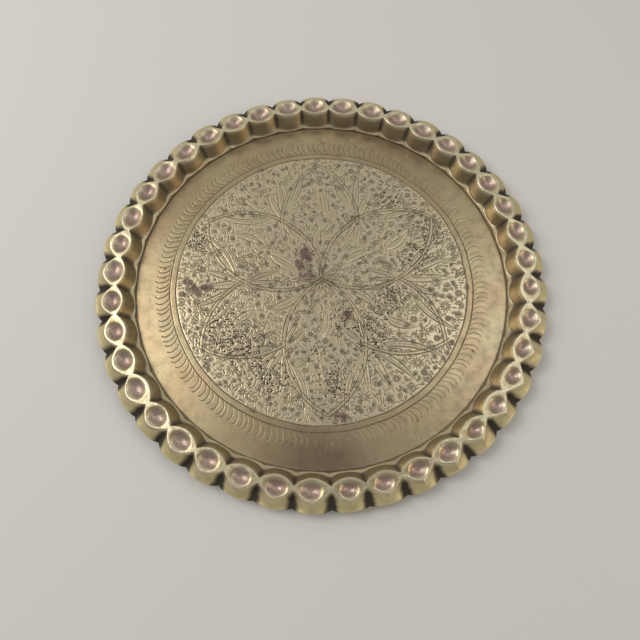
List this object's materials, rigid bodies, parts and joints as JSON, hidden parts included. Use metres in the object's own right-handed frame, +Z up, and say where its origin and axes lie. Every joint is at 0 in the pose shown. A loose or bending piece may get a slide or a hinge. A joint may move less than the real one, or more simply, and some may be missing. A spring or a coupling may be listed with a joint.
{
  "type": "brass tray",
  "caption": "Large round engraved brass tray with a fluted wall, a rim of dimpled lobes, a scalloped lip and a swinging hanging ring soldered behind the rim.",
  "frame": {"origin": "middle of the disc's flat underside, on the surface that the tray stands on", "axes": "+Z up out of the tray's inside, +Y towards the hanging ring, which is the top when the tray hangs on a wall, +X to the right seen from the front"},
  "size_m": [0.5796, 0.5791, 0.0247],
  "materials": {
    "disc_brass": "aged, hand-engraved, dark patina in the cuts",
    "rim_brass": "aged, hand-hammered, satin, with mauve-brown tarnish in the dimples",
    "hanger_brass": "plain dull brass"
  },
  "bodies": {
    "tray": {"engraved_disc": "disc_brass", "fluted_rim": "rim_brass", "hanger_strap": "hanger_brass"},
    "ring": {"hanging_ring": "hanger_brass"}
  },
  "joints": [
    {"name": "ring_swing", "type": "hinge", "parent": "tray", "child": "ring", "pos_m": [0, 0.25402, 0.01248], "axis": [1, 0, 0], "range_deg": [-60.6, 45]}
  ]
}
